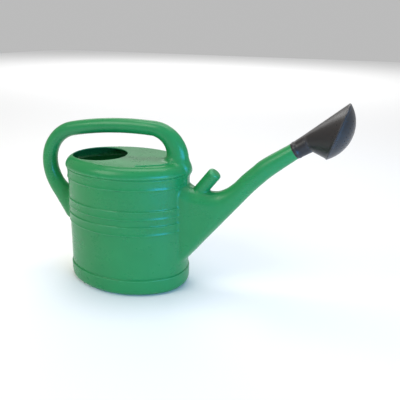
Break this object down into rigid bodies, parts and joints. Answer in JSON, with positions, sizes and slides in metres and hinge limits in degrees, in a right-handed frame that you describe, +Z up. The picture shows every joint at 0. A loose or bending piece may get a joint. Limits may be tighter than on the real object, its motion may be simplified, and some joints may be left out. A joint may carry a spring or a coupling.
{
  "type": "watering can",
  "caption": "Watering can: hollow oval tank with a round filling opening, hoop handle, rising spout, parking peg and a push-on rose with a perforated face.",
  "frame": {"origin": "centre of the standing ring, on the ground plane", "axes": "+Z up, +X from the handle's back towards the spout's tip, the object's mirror plane is y = 0"},
  "size_m": [0.6241, 0.1946, 0.3955],
  "materials": {
    "can_green": "semi-gloss blow-moulded polyethylene",
    "rose_black": "semi-gloss injection-moulded plastic"
  },
  "bodies": {
    "can": {"base_cup": "can_green", "tank_wall": "can_green", "shoulder_deck": "can_green", "handle_rear_leg": "can_green", "handle_grip": "can_green", "handle_front_leg": "can_green", "spout_root": "can_green", "spout_tube": "can_green", "spout_spigot": "can_green", "parking_peg": "can_green"},
    "rose_sleeve": {"rose_sleeve": "rose_black"},
    "rose_hood": {"rose_hood": "rose_black"},
    "rose_face": {"rose_face": "rose_black"}
  },
  "joints": [
    {"name": "rose_pull", "type": "slide", "parent": "can", "child": "rose_sleeve", "axis": [0.8192, 0, 0.5736], "range_m": [0, 0.04]},
    {"name": "rose_twist", "type": "hinge", "parent": "rose_sleeve", "child": "rose_hood", "pos_m": [0.3285, 0, 0.3053], "axis": [0.8192, 0, 0.5736], "continuous": true},
    {"name": "face_unclip", "type": "slide", "parent": "rose_hood", "child": "rose_face", "axis": [0.9553, 0, -0.2957], "range_m": [0, 0.03]}
  ]
}
